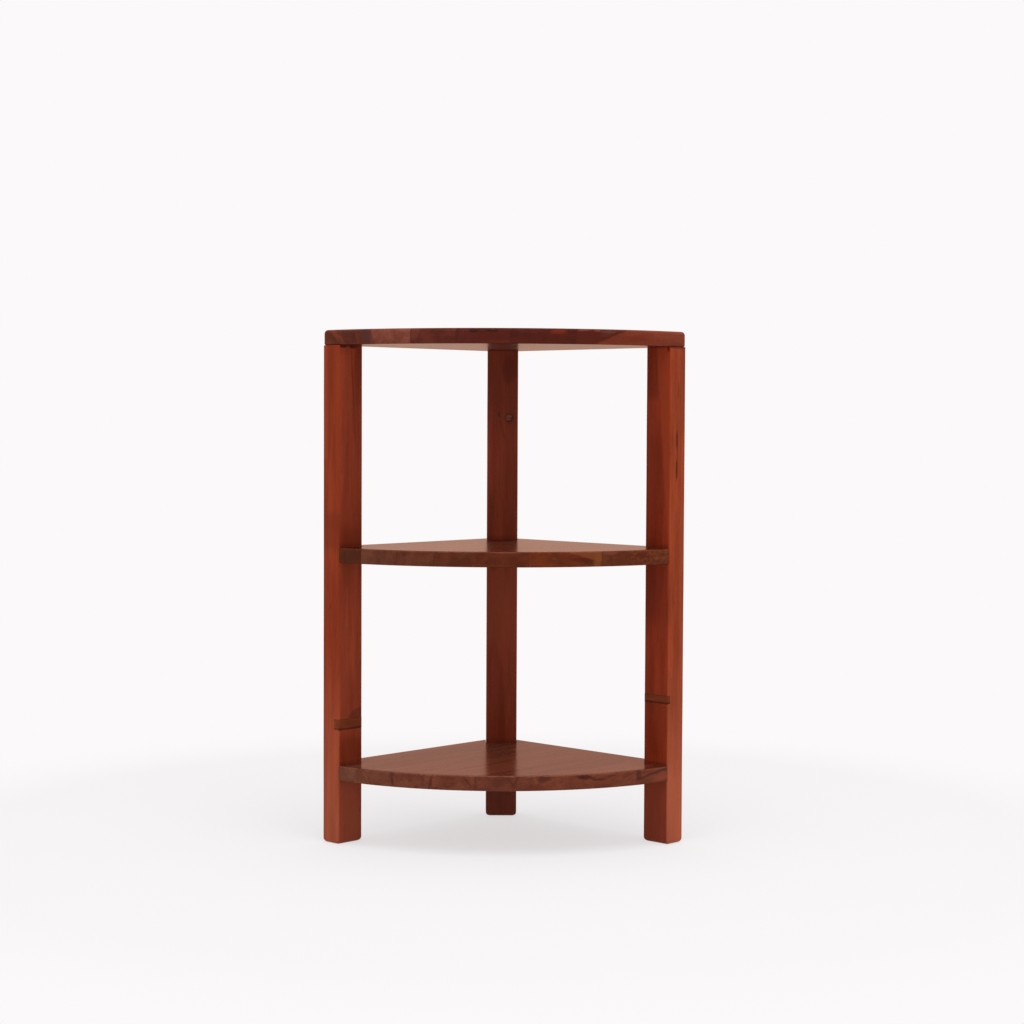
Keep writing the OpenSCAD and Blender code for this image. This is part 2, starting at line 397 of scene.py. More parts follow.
def is_tip(point):
    """Whether a point is at one of the two front tips of a quarter disc"""
    return min(point.x, point.y) < NEAR and max(point.x, point.y) > ARM - 1 * MM


def cut_board(slab, tool, space):
    """Cuts a board, which lies in the corner frame, with a tool that was placed in its own frame"""
    cut(slab, tool if space is CORNER else carry(tool, CORNER.inverted()))


def bore_for_dowels(slab, low, high):
    """Bores the holes for the dowels, which end inside the board"""
    for post in ("left_post", "right_post", "back_post"):
        for space, tool in dowel_cutters(post, low - PAST, high - DOWEL_COVER):
            cut_board(slab, tool, space)


def cut_notches(slab, low, high):
    """Cuts the notches for the three posts"""
    for post, space in (("left_post", CORNER), ("right_post", CORNER), ("back_post", ROOM)):
        post_low, post_high = node_box(post, space)
        gap = Vector((NOTCH_GAP, NOTCH_GAP, 0))
        corner_low, corner_high = post_low - gap, post_high + gap
        if post == "back_post":
            corner_high.y += ARM
        else:
            wall = 1 if post == "left_post" else 0
            corner_low[wall] -= PAST
            corner_high[1 - wall] += PAST
        corner_low.z, corner_high.z = low - PAST, high + PAST
        cut_board(slab, block("notch", corner_low, corner_high), space)


def bore_for_screws(slab, height):
    """Bores the pilot holes for the screws that come through the posts"""
    for post, places in screw_places().items():
        for space, place, along in places:
            if abs(place.z - height) > 1 * MM:
                continue
            low, high = node_box(post, space)
            thick = abs((high - low).dot(along))
            tool = rod([SHANK_R, SHANK_R], [thick - PAST, thick + SCREW_BITE], place, along)
            cut_board(slab, tool, space)


def shape_staves(board, slab):
    """Saws a board into its staves, each as wide as its CAD node"""
    staves = []
    for n in range(1, BOARDS[board] + 1):
        node = f"{board}_stave_{n}"
        low, high = node_box(node, CORNER)
        stave = slab.copy()
        stave.data = slab.data.copy()
        stave.name = f"{node}_timber"
        bpy.context.collection.objects.link(stave)
        if n > 1:
            saw_across(stave, (0, low.y, 0), (0, -1, 0), drop=True)
        if n < BOARDS[board]:
            saw_across(stave, (0, high.y, 0), (0, 1, 0), drop=True)
        staves.append(carry(stave, CORNER))
    bpy.data.objects.remove(slab)
    return staves


# Materials

class Shade:
    """A socket in a material's node tree. Arithmetic on it adds Math nodes."""

    def __init__(self, tree, socket=None):
        self.tree = tree
        self.socket = socket

    def node(self, kind, settings, sockets, output=0):
        """Adds a node: first its settings, then the values or links of its sockets"""
        node = self.tree.nodes.new("ShaderNode" + kind)
        for name, value in settings.items():
            if name == "stops":
                self.set_stops(node.color_ramp.elements, value)
            else:
                setattr(node, name, value)
        for name, value in sockets.items():
            if isinstance(value, Shade):
                self.tree.links.new(value.socket, node.inputs[name])
            else:
                node.inputs[name].default_value = value
        return Shade(self.tree, node.outputs[output])

    @staticmethod
    def set_stops(elements, stops):
        while len(elements) < len(stops):
            elements.new(1)
        for element, (place, colour) in zip(elements, stops):
            element.position = place
            element.color = (*colour, 1)

    def maths(self, operation, *values):
        return self.node("Math", {"operation": operation}, dict(enumerate(values)))

    def __add__(self, other):
        return self.maths("ADD", self, other)

    def __sub__(self, other):
        return self.maths("SUBTRACT", self, other)

    def __mul__(self, other):
        return self.maths("MULTIPLY", self, other)

    def __truediv__(self, other):
        return self.maths("DIVIDE", self, other)

    def __rsub__(self, other):
        return self.maths("SUBTRACT", other, self)

    __radd__ = __add__
    __rmul__ = __mul__

    def absolute(self):
        return self.maths("ABSOLUTE", self)

    def between(self, start, end, low=0.0, high=1.0):
        """Smooth step from low at start to high at end"""
        if start > end:
            start, end, low, high = end, start, high, low
        sockets = {"Value": self, "From Min": start, "From Max": end, "To Min": low, "To Max": high}
        return self.node("MapRange", {"interpolation_type": "SMOOTHSTEP"}, sockets)

    def mix(self, other, share):
        """This colour with a share of another one"""
        return self.node("Mix", {"data_type": "RGBA"}, {0: share, 6: self, 7: other}, 2)

    def scaled(self, factor):
        """This colour or vector times a number"""
        return self.node("VectorMath", {"operation": "SCALE"}, {0: self, "Scale": factor})

    def times(self, other):
        """This colour or vector times another one"""
        return self.node("VectorMath", {"operation": "MULTIPLY"}, {0: self, 1: other})

    def plus(self, other):
        """The sum of two vectors"""
        return self.node("VectorMath", {"operation": "ADD"}, {0: self, 1: other})

    def length(self):
        """Length of this vector"""
        return self.node("VectorMath", {"operation": "LENGTH"}, {0: self}, "Value")

    def axis(self, name):
        return self.node("SeparateXYZ", {}, {"Vector": self}, "XYZ".index(name))


Tone = namedtuple("Tone", "dark mid light")
Lacquer = namedtuple("Lacquer", "rough sheen coat")
# A mark's place and half sizes are in millimetres. It is a soft oval, or with an edge width a slanted block.
Mark = namedtuple("Mark", "colour side height half_w half_h slant strength edge", defaults=(None,))

# What the lacquer mirrors on a surface that faces the viewer, which is no part of the wood's own colour
GLINT = (0.0165, 0.0098, 0.0073)
# The level of light on the rack, and the darkest that a colour gets
WOOD_LIGHT = 0.92
DARKEST = 0.0008

# Dark, middle and light grain, each as shares of the wood's own red, green and blue
GRAIN_SPREAD = ((0.74, 0.66, 0.66), (1, 1, 1), (1.25, 1.36, 1.4))
# The grain's features: how many there are in a metre across it, and how many times longer than wide they are
RING_SWAY = (35, 8)
STREAKS = (260, 30)
GLOWS = (150, 30)
FIBRES = (1300, 45)
PORES = (1900, 16)
RIPPLES = (60, 3)
# Mottle of the painted light from the floor on the posts' feet
FLOOR_LIGHT_MOTTLE = (70, 6)
FLECKS = (250, 1.2)
RING_SPACING = 3.4 * MM
# A heart of the tree far from a small piece, so that its rings run nearly straight
FAR_HEART = (0.05, 0.05)

LACQUER_IOR = 1.4
COAT_ROUGHNESS = 0.15
BUMP_STRENGTH = 0.3


def seen(red, green, blue):
    """Linear colour of wood that shows as these display values in the scene's light"""
    shown = [((c / 255 + 0.055) / 1.055) ** 2.4 for c in (red, green, blue)]
    return tuple(max(c - glint, DARKEST) / WOOD_LIGHT for c, glint in zip(shown, GLINT))


def tone_of(colour, depth=1.0):
    """Dark, middle and light colours of the grain of wood of a given colour"""
    return Tone(*(tuple(c * (1 + (s - 1) * depth) for c, s in zip(colour, step)) for step in GRAIN_SPREAD))


class Wood:
    """A material for one length of hardwood: its place, its grain and its lacquer"""

    def __init__(self, name, space, along, seed):
        self.material = bpy.data.materials.new(name)
        self.material.use_nodes = True
        self.tree = self.material.node_tree
        self.surface = self.tree.nodes["Principled BSDF"]
        self.along = along
        self.seed = seed
        start = Shade(self.tree)
        self.room = start.node("TexCoord", {}, {}, "Object")
        self.place = start.node("Mapping", {"vector_type": "TEXTURE"}, {
            "Vector": self.room, "Location": space.translation, "Rotation": space.to_euler()})
        self.swayed = self.warped(self.place, 6, 4, 8 * MM)

    def noise(self, scale, stretch, detail=2.0, place=None, output=0, roughness=0.55):
        """Noise drawn out along the grain. Scale is in features a metre across the grain."""
        size = [scale] * 3
        size[self.along] = scale / stretch
        shift = (self.seed * 3.17 % 17, self.seed * 5.71 % 13, self.seed * 7.93 % 11)
        place = place or self.swayed
        vector = place.node("Mapping", {}, {"Vector": place, "Location": shift, "Scale": size})
        return vector.node("TexNoise", {}, {
            "Vector": vector, "Scale": 1.0, "Detail": detail, "Roughness": roughness}, output)

    def warped(self, place, scale, stretch, reach):
        """A place that wanders by up to about half of the reach"""
        sway = self.noise(scale, stretch, 1.0, place, 1)
        centred = sway.node("VectorMath", {"operation": "SUBTRACT"}, {0: sway, 1: (0.5, 0.5, 0.5)})
        return centred.scaled(reach).plus(place)

    def rings(self, pith):
        """Growth rings round the heart of the tree, whose place across the grain is given"""
        across = [name for name in "XYZ" if "XYZ".index(name) != self.along]
        u, v = (self.swayed.axis(name) - heart for name, heart in zip(across, pith))
        squares = u * u + v * v
        turns = squares.maths("SQRT", squares) / RING_SPACING + self.noise(*RING_SWAY, 2.0) * 1.6
        phase = turns.maths("FRACT", turns)
        return phase.between(0.05, 0.8) * phase.between(1.0, 0.86)

    def figure(self, tone, bands_width, pith, streak=0.5, ring=0.3):
        """Colour of the wood: broad bands, rings, streaks, fibres and pores"""
        dark, light = (*tone.dark, 1), (*tone.light, 1)
        bands = self.noise(1 / bands_width, 9, 3.0).between(0.3, 0.7)
        stops = [(0, tone.dark), (0.5, tone.mid), (1, tone.light)]
        colour = bands.node("ValToRGB", {"stops": stops}, {"Fac": bands})
        colour = colour.mix(dark, self.rings(pith) * ring)
        colour = colour.mix(dark, self.noise(*STREAKS, 3.0).between(0.5, 0.72) * streak)
        colour = colour.mix(light, self.noise(*GLOWS, 2.0).between(0.52, 0.75) * streak)
        self.fibres = self.noise(*FIBRES, 2.0)
        colour = colour.scaled(self.fibres.between(0.3, 0.7, 0.9, 1.1))
        self.pores = self.noise(*PORES, 1.0, self.place).between(0.62, 0.74)
        return colour.scaled(1 - self.pores * 0.4)

    @staticmethod
    def within(distance, half, soft):
        """1 up to half a width from a middle line and 0 beyond it, with a soft edge, in millimetres"""
        return distance.absolute().between((half + soft) * MM, (half - soft) * MM)

    def add_marks(self, colour, marks, side, height, limit=None):
        """Lays stains, knots and cracks over a face, whose places across it and up it are given"""
        for mark in marks:
            rise = height - mark.height * MM
            across = side - mark.side * MM - rise * mark.slant
            if mark.edge:
                soft = mark.edge / 2
                inside = self.within(across, mark.half_w, soft) * self.within(rise, mark.half_h, soft)
            else:
                across, up = across / (mark.half_w * MM), rise / (mark.half_h * MM)
                inside = (across * across + up * up).between(1.7, 0.4)
            share = inside * mark.strength
            colour = colour.mix((*mark.colour, 1), share * limit if limit else share)
        return colour

    def lacquered(self, colour, lacquer, bump=0.03):
        """Sends the colour to the surface, with a bump in millimetres, and lays the lacquer over it, which
        mirrors the room in a warm tint"""
        sockets = self.surface.inputs
        link = self.tree.links.new
        ripple = self.noise(*RIPPLES, 2.0, self.place)
        rough = self.fibres.between(0.2, 0.8, lacquer.rough - 0.03, lacquer.rough + 0.04) + self.pores * 0.08
        height = self.fibres * 0.25 - self.pores * 0.6 + ripple
        bumped = height.node("Bump", {}, {"Strength": BUMP_STRENGTH, "Distance": bump * MM, "Height": height})
        link(colour.socket, sockets["Base Color"])
        link(rough.socket, sockets["Roughness"])
        link(bumped.socket, sockets["Normal"])
        sockets["Specular IOR Level"].default_value = 0.0
        sockets["Coat Weight"].default_value = lacquer.coat
        sockets["Coat Roughness"].default_value = COAT_ROUGHNESS
        sockets["Coat IOR"].default_value = LACQUER_IOR
        mirror = bumped.node("BsdfAnisotropic", {"distribution": "GGX"}, {
            "Color": (*lacquer.sheen, 1), "Roughness": lacquer.rough, "Normal": bumped})
        grazing = bumped.node("Fresnel", {}, {"IOR": LACQUER_IOR, "Normal": bumped})
        wood = Shade(self.tree, self.surface.outputs[0])
        both = wood.node("MixShader", {}, {0: grazing, 1: wood, 2: mirror})
        link(both.socket, self.tree.nodes["Material Output"].inputs["Surface"])
        return self.material


SATIN = Lacquer(0.42, (0.5, 0.28, 0.2), 0.04)
BARE = Lacquer(0.7, (0.3, 0.3, 0.3), 0)
GLOSS = {
    "top": Lacquer(0.2, (0.55, 0.325, 0.236), 0.08),
    "middle": Lacquer(0.2, (0.61, 0.337, 0.243), 0.08),
    "bottom": Lacquer(0.2, (0.5, 0.235, 0.158), 0.08),
}

INK = seen(44, 24, 20)
SOOT = seen(58, 28, 24)
DUSK = seen(70, 33, 27)
PLUM = seen(74, 36, 31)
RUST = seen(92, 34, 21)
EMBER = seen(118, 56, 36)
# Colour of a painted highlight on an upper edge
ARRIS_HIGHLIGHT = seen(146, 88, 72)
ASH = seen(76, 47, 41)

# Colours of the posts, in linear light: the faces that look into the rack, and the faces at the tips
POST_TONES = {
    "left_post": (0.242, 0.035, 0.0125),
    "right_post": (0.222, 0.024, 0.006),
    "back_post": (0.195, 0.028, 0.0105),
}
# How the tip faces' colour differs from the inner faces': the wood's own tone, and on the right post also
# painted light, much paler where its tip face is lit more
TIP_TONES_AND_LIGHT = {"left_post": (1.07, 0.91, 0.6), "right_post": (1.28, 1.75, 1.97)}
# Colour of the painted light from the floor, which makes the tip faces paler towards the feet
FLOOR_LIGHT_TINT = (1.0, 0.36, 0.21)

# Marks on the faces of the posts that look into the rack: place across the post, and height
INNER_MARKS = {
    "left_post": [
        Mark(RUST, 272, 555, 8, 34, 0.06, 0.2, 10),
        Mark(DUSK, 281, 525, 1.3, 62, 0.06, 0.4),
        Mark(DUSK, 269.5, 38, 1.8, 3.2, 0, 0.8),
        # Painted shadow just under the top
        Mark(INK, 298, 590.8, 7, 2.2, 0, 0.8),
        Mark(INK, 282, 590.6, 7.5, 2.2, 0, 0.75),
        Mark(seen(88, 44, 32), 272, 155, 13, 7, -1.2, 0.6),
        Mark(seen(106, 43, 28), 264, 493, 25, 140, -0.11, 0.35, 6),
        # Painted reflection of the bright floor: paler and greyer below the bottom shelf
        Mark(seen(134, 68, 49), 285, 36, 1000, 42, 0, 0.5, 10),
        # Painted shade just above the middle and the bottom shelf
        Mark(seen(90, 36, 24), 285, 364, 1000, 14, 0, 0.3, 18),
        Mark(seen(94, 37, 23), 283, 112, 24, 16, 0, 0.45, 18),
    ],
    "right_post": [
        Mark(seen(84, 34, 24), 277, 563, 10, 32, 0, 0.4, 12),
        Mark(seen(78, 40, 26), 289.5, 566, 2.2, 26, 0, 0.55),
        Mark(seen(142, 58, 34), 311, 485, 20, 125, -0.08, 0.85, 4),
        Mark(seen(118, 48, 31), 272, 460, 10, 55, 0, 0.4, 20),
        Mark(seen(84, 30, 16), 290, 300, 30, 34, 0, 0.28, 24),
        # Painted shadow just under the top
        Mark(seen(92, 28, 18), 301.5, 589, 3, 3.2, 0, 0.8),
        Mark(RUST, 281, 420, 10, 66, 0, 0.3, 14),
        # Painted shadow just under the top
        Mark(DUSK, 284, 591.4, 18, 1.2, 0, 0.5),
        Mark(RUST, 284, 140, 12, 36, 0, 0.35, 16),
        # Painted reflection of the bright floor: paler and greyer below the bottom shelf
        Mark(seen(118, 60, 45), 285, 36, 1000, 42, 0, 0.35, 10),
    ],
    "back_post": [
        Mark(seen(80, 36, 27), 9, 507, 7, 7, 0, 0.4),
        Mark(DUSK, -4.7, 511.5, 1.4, 4, 0, 0.6),
        Mark(DUSK, 0, 492, 1.1, 16, -0.25, 0.35),
        Mark(DUSK, -10.6, 316, 3.6, 3.2, 0, 0.55),
        Mark(seen(68, 26, 18), 8, 568, 8, 17, 0, 0.4),
        # Painted shade: darker under the top and just above the bottom shelf
        Mark(DUSK, 0, 560, 1000, 60, 0, 0.3, 60),
        Mark(DUSK, 0, 120, 1000, 60, 0, 0.12, 70),
        Mark(seen(126, 60, 38), -6, 272, 24, 52, 0, 0.5, 28),
        # Painted reflection of the bright floor: paler and greyer below the bottom shelf
        Mark(seen(100, 58, 46), 0, 36, 1000, 42, 0, 0.4, 10),
    ],
}
# Marks on the faces at the tips
TIP_MARKS = {
    "left_post": [
        Mark(DUSK, 14, 283, 0.9, 5, 0.4, 0.4),
        Mark(seen(148, 66, 40), 3, 530, 6, 72, 0, 0.6, 7),
        Mark(seen(120, 49, 29), 23, 480, 7, 110, 0, 0.35, 8),
        Mark(seen(114, 46, 27), 16, 372, 1000, 22, 0, 0.55, 14),
    ],
    "right_post": [
        Mark(seen(70, 40, 30), 16.3, 482, 1.7, 11, 0, 0.62),
        Mark(seen(70, 40, 30), 16.6, 446, 1.9, 12, 0, 0.62),
        Mark(DUSK, 15.7, 464, 0.9, 26, 0, 0.5),
        Mark(DUSK, 13.8, 541, 1.3, 9, 0, 0.35),
        # Painted shadow just under the top
        Mark(DUSK, 14, 591.2, 30, 1.3, 0, 0.7),
        # Painted light from the floor: paler towards the foot
        Mark(seen(178, 94, 66), 10, 40, 1000, 50, 0, 0.3, 40),
    ],
}
# Painted shade that gathers just above a shelf: height, and how far it spreads, in millimetres
SHELF_SHADE = [(354.5, 2.5), (95.5, 2.5)]
# How deep a post's marks reach, and how far from its end the tone of the tip face starts and is full
MARK_DEPTH = 6 * MM
TIP_START = 4 * MM
TIP_FULL = 0.9 * MM


def post_wood(node, space):
    """Wood of a post, with the marks on its inner face and on the face at the tip, and painted light and
    shade
    """
    low, high = node_box(node, space)
    middle = (low + high) / 2
    wood = Wood(f"{node}_wood", space, 2, len(node) * 3.7)
    pith = (middle.x + 60 * MM, middle.y - 45 * MM)
    colour = wood.figure(tone_of(POST_TONES[node], 0.8), 14 * MM, pith, 0.4, 0.22)
    fine = wood.warped(wood.place, 110, 1.5, 1.4 * MM)
    height = fine.axis("Z")
    if node == "back_post":
        inner = wood.place.axis("Y").between(high.y - MARK_DEPTH, low.y + MARK_DEPTH)
        side = fine.axis("X")
        # Painted shade: the back post darker below the bottom shelf
        colour = colour.scaled(height.between(0.09, 0.07, 1.0, 0.85))
    else:
        out, deep = ("X", "Y") if node == "left_post" else ("Y", "X")
        k = "XY".index(deep)
        tip = wood.place.axis(out).between(ARM - TIP_START, ARM - TIP_FULL)
        inner = (1 - tip) * wood.place.axis(deep).between(low[k] + MARK_DEPTH, high[k] - MARK_DEPTH)
        # The tip face's own tone, with painted light on the right post's tip face
        tint = tip.node("Mix", {"data_type": "RGBA"}, {
            0: tip, 6: (1, 1, 1, 1), 7: (*TIP_TONES_AND_LIGHT[node], 1)}, 2)
        colour = colour.times(tint)
        # Painted light from the floor: paler towards the feet, mostly on the tip faces
        painted_floor_light = height.between(0.26, 0.02) * wood.noise(*FLOOR_LIGHT_MOTTLE, 3.0).between(0.1, 0.8, 0.6, 1.2)
        colour = colour.mix((*FLOOR_LIGHT_TINT, 1), painted_floor_light * tip.between(0, 1, 0.02, 0.14))
        colour = wood.add_marks(colour, TIP_MARKS[node], fine.axis(deep), height, tip)
        side = fine.axis(out)
    # Painted shade just above each shelf
    shelf_shade = [Mark(DUSK, 0, place, 1000, spread, 0, 0.35, 2 * spread) for place, spread in SHELF_SHADE]
    colour = wood.add_marks(colour, INNER_MARKS[node] + shelf_shade, side, height, inner)
    return wood.lacquered(colour, SATIN)


# Display colours of the staves
STAVE_TONES = {
    "top": [
        (96, 46, 31), (94, 45, 33), (118, 63, 49), (90, 41, 31), (85, 37, 29), (80, 33, 24), (120, 54, 36),
    ],
    "middle": [
        (80, 38, 22), (98, 54, 38), (96, 50, 34), (91, 45, 29), (92, 42, 25), (99, 44, 24), (98, 47, 27),
    ],
    "bottom": [
        (112, 66, 50), (109, 63, 47), (111, 62, 47), (110, 60, 44), (104, 56, 42), (111, 59, 43),
    ],
}

# Marks on the round edges of the boards: place across the room, and height
RIM_MARKS = {
    "top": [
        Mark(EMBER, -197.5, 602, 3.4, 11, -0.8, 0.75, 3.5),
        Mark(EMBER, -195.6, 602, 1.8, 11, -0.8, 0.75, 3),
        Mark(seen(74, 36, 30), -183, 600, 8, 8, 0, 0.45, 6),
        Mark(seen(108, 54, 40), -173, 600, 1.6, 8, -0.2, 0.4),
        Mark(ASH, -162.5, 601, 4.8, 12, -0.2, 0.75, 2.5),
        Mark(seen(84, 50, 42), -156.4, 600, 2.2, 12, -0.3, 0.75, 2.5),
        Mark(SOOT, -163, 608.4, 5, 1, 0, 0.4),
        # Painted highlight on the upper edge
        Mark(ARRIS_HIGHLIGHT, -114, 608, 9, 2.6, 0, 0.3),
        Mark(DUSK, -110, 598, 2.4, 9, 0, 0.35),
        Mark(seen(112, 58, 44), -105, 605, 5, 8, 0.3, 0.5),
        Mark(seen(104, 50, 38), -93, 602, 5, 5, 0, 0.35),
        Mark(seen(74, 33, 26), -70, 598, 14, 2.6, 0, 0.35),
        Mark(seen(76, 30, 22), -14, 601, 21, 12, 0, 0.6, 10),
        Mark(INK, -37, 606.3, 5.4, 2, 0, 0.65),
        Mark(INK, -16, 606.9, 7.6, 1.4, 0, 0.7),
        # Painted light: the lower edge paler, where it catches light from below
        Mark(seen(98, 42, 30), -8, 594, 22, 2, 0, 0.4),
        Mark(seen(94, 41, 29), 30, 606, 14, 1.6, 0.6, 0.35),
        Mark(seen(112, 44, 27), 60, 606.2, 9, 2.4, 0, 0.75),
        Mark(seen(70, 28, 21), 56, 599, 16, 3, 0, 0.35),
        Mark(seen(77, 31, 23), 89.5, 601, 34, 16, 2.24, 0.9, 9),
        Mark(seen(124, 64, 50), 89, 609, 9, 1.6, 0, 0.55),
        Mark(seen(126, 58, 37), 106, 607.9, 3.8, 1.4, 0, 0.75),
        Mark(seen(104, 62, 52), 119, 606.8, 9, 1.8, 0.5, 0.55),
        Mark(seen(84, 50, 42), 132, 608.2, 5, 1, 1, 0.4),
        Mark(seen(96, 50, 41), 116, 603, 6, 2, 0.6, 0.3),
        Mark(seen(106, 42, 25), 155, 600, 14, 4, 2.2, 0.45),
        Mark(seen(128, 60, 40), 180, 603, 18, 3, 2.5, 0.35),
        Mark(seen(84, 40, 30), 204, 593.6, 8, 1, 2, 0.5),
    ],
    "middle": [
        Mark(seen(70, 34, 21), -180, 344, 11, 6, 0, 0.5, 7),
        Mark(seen(116, 68, 54), -160, 349, 7, 4, 0, 0.3),
        Mark(seen(112, 64, 49), -106, 344, 12, 4, -0.4, 0.2),
        Mark(seen(82, 38, 23), -40, 340, 16, 2, 0, 0.3),
        Mark(seen(114, 51, 33), 56.4, 345.2, 3.2, 1.5, 0, 0.6),
        Mark(seen(106, 48, 28), 32, 339, 20, 1.6, 0, 0.35),
        Mark(seen(70, 28, 12), 89, 343.6, 13, 2.6, -2.2, 0.52),
        Mark(seen(70, 28, 12), 98, 339.8, 6, 2, 0, 0.45),
        Mark(seen(122, 68, 38), 111.8, 349, 29, 9, -3.6, 0.65, 9),
        Mark(seen(124, 68, 34), 107.6, 342, 4.2, 9, 0.2, 0.65, 6),
        Mark(seen(118, 69, 52), 122, 350.4, 9, 2, 0.5, 0.5),
        Mark(seen(108, 58, 37), 116, 344, 3.6, 5, 0, 0.4),
        Mark(seen(78, 38, 22), 140, 343, 12, 2.2, 1.2, 0.35),
        Mark(seen(74, 32, 16), 162, 347, 9, 3.8, 0.6, 0.6),
    ],
    "bottom": [
        Mark(seen(112, 72, 56), -186, 85, 9, 7, 0, 0.35),
        Mark(SOOT, -130.4, 86, 1.4, 10, -0.2, 0.42),
        Mark(SOOT, -131, 91.6, 3, 1.5, 0, 0.4),
        Mark(DUSK, -110, 85, 2.4, 1.4, 0, 0.35),
        Mark(DUSK, -94.5, 84.5, 1.6, 9, 0, 0.26),
        Mark(DUSK, -85.6, 84.5, 1.4, 9, 0.22, 0.48),
        Mark(seen(120, 60, 42), -74, 86, 9, 4, 0, 0.25),
        Mark(seen(66, 33, 25), -101, 78, 3, 1.6, 0, 0.4),
        Mark(DUSK, -42.5, 86.5, 1.8, 6, -0.75, 0.45),
        Mark(DUSK, -38, 80, 4, 1, 0, 0.3),
        Mark(DUSK, -33, 85, 1.4, 8, 0, 0.42),
        Mark(PLUM, 6.6, 88.6, 1.7, 6, -0.75, 0.45),
        Mark(PLUM, 14.6, 88.6, 1.7, 6, 0.65, 0.45),
        Mark(seen(76, 38, 30), 10.6, 81, 3, 3.6, 0, 0.35),
        Mark(seen(76, 37, 29), 46.3, 90.2, 7.4, 4.2, 0.4, 0.62),
        Mark(seen(62, 32, 27), 94, 90.2, 8, 2.6, -0.7, 0.75),
        Mark(seen(72, 36, 30), 104, 88, 3, 2.2, -0.8, 0.6),
        Mark(seen(74, 37, 31), 111, 86.8, 8, 1.3, 0.8, 0.6),
        Mark(seen(112, 58, 42), 110.5, 90.4, 5, 1.8, 0, 0.4),
        Mark(seen(72, 36, 30), 123, 90, 8, 1, 2.8, 0.5),
        Mark(seen(92, 64, 50), 139, 81.5, 4, 3, 0, 0.45),
        Mark(seen(70, 37, 32), 159, 87.4, 3.2, 6.6, 0, 0.62),
        Mark(seen(74, 42, 37), 161, 83.8, 5.4, 2.4, 0, 0.4),
        Mark(seen(70, 38, 35), 178, 88.2, 6, 5, 4.3, 0.66, 5),
        Mark(seen(118, 54, 35), 172, 91.4, 7, 1.8, 1, 0.45),
        Mark(seen(134, 66, 43), 190, 83, 12, 4.6, 1.6, 0.6),
    ],
}
# A painted highlight along the upper round edge, where its rounding catches the light
EDGE_HIGHLIGHT_COLOUR = seen(190, 128, 106)
EDGE_HIGHLIGHT_SHARE = {"top": 0.06, "middle": 0.15, "bottom": 0.22}
# How much paler the wood of the flat faces is than that of the round edges
FACE_SHARE = {"top": 1.45, "middle": 1.6, "bottom": 1.35}
# How far from the round edge the tone of the flat faces ends and that of the edge is full
FACE_END = 9 * MM
EDGE_START = 5 * MM
# The stave with a knot's flecks in it
KNOTTY_STAVE = ("middle", 7)


def speckled(wood, colour, share):
    """Short light and dark flecks, as a knot's end grain has"""
    fleck = wood.noise(*FLECKS, 3.0, wood.place, roughness=0.65)
    colour = colour.mix((*seen(72, 32, 17), 1), fleck.between(0.48, 0.34) * share)
    return colour.mix((*seen(122, 60, 34), 1), fleck.between(0.52, 0.66) * share)


def rim_side(depth):
    """Place across the room, in millimetres, at which the round edge is this far from the left wall"""
    return (depth - (max(ARM * ARM - depth * depth, 0)) ** 0.5) / 2 ** 0.5 / MM


def stave_wood(board, n):
    """Wood of one stave: its own tone, the marks on its part of the round edge, and a painted highlight on
    its upper edge
    """
    low, high = node_box(f"{board}_stave_{n}", CORNER)
    middle = (low + high) / 2
    wood = Wood(f"{board}_stave_{n}_wood", CORNER, 0, n * 4.3 + len(board) * 9.1)
    pith = (middle.y + (25 if n % 2 else -20) * MM, middle.z - (38 if n % 3 else -30) * MM)
    colour = wood.figure(tone_of(seen(*STAVE_TONES[board][n - 1]), 1.0), 15 * MM, pith, 0.5, 0.28)
    radius = wood.place.times((1, 1, 0)).length()
    rim = radius.between(ARM - FACE_END, ARM - EDGE_START)
    colour = colour.scaled(rim.between(0, 1, FACE_SHARE[board], 1.0))
    fine = wood.warped(wood.warped(wood.room, 110, 1.5, 1.6 * MM), 320, 2, 2.6 * MM)
    marks = [mark for mark in RIM_MARKS[board] if rim_side(low.y) <= mark.side < rim_side(high.y)]
    colour = wood.add_marks(colour, marks, fine.axis("X"), fine.axis("Z"), rim)
    if (board, n) == KNOTTY_STAVE:
        colour = speckled(wood, colour, rim * wood.room.axis("X").between(0.13, 0.175, 0.2, 0.7))
    # Painted highlight on the upper round edge, strongest towards the middle of the rim
    painted_highlight = (radius.between(ARM - 3 * MM, ARM - 0.8 * MM)
              * fine.axis("Z").between(high.z - 2 * MM, high.z - 0.6 * MM)
              * wood.room.axis("X").absolute().between(0.16, 0.09, 0.3, 1.0))
    colour = colour.mix((*EDGE_HIGHLIGHT_COLOUR, 1), painted_highlight * EDGE_HIGHLIGHT_SHARE[board])
    return wood.lacquered(colour, GLOSS[board], 0.02)


# Marks on the plug: place from the middle of its face, and half sizes
PLUG_MARKS = ((3.6, -0.6, 1.2, 3.4), (0.8, -3.6, 3.2, 1.1), (1.2, -0.8, 1.5, 0.9))


def plug_wood(face):
    """End grain with a dark ring of glue and a paler heart"""
    wood = Wood("plug_wood", ROOM, 1, 21)
    colour = wood.figure(tone_of(seen(118, 68, 52)), 4 * MM, FAR_HEART)
    marks = [Mark(INK, face.x / MM + x, face.z / MM + z, w, h, 0, 0.65) for x, z, w, h in PLUG_MARKS]
    fine = wood.warped(wood.place, 300, 1, 1.2 * MM)
    return wood.lacquered(wood.add_marks(colour, marks, fine.axis("X"), fine.axis("Z")), SATIN)


def beech():
    """Bare wood of the dowels"""
    wood = Wood("beech", ROOM, 2, 30)
    return wood.lacquered(wood.figure(tone_of((0.6, 0.4, 0.2)), 3 * MM, FAR_HEART), BARE)


FILLER_TONES = {"left_filler": (118, 58, 36), "right_filler": (108, 52, 32)}


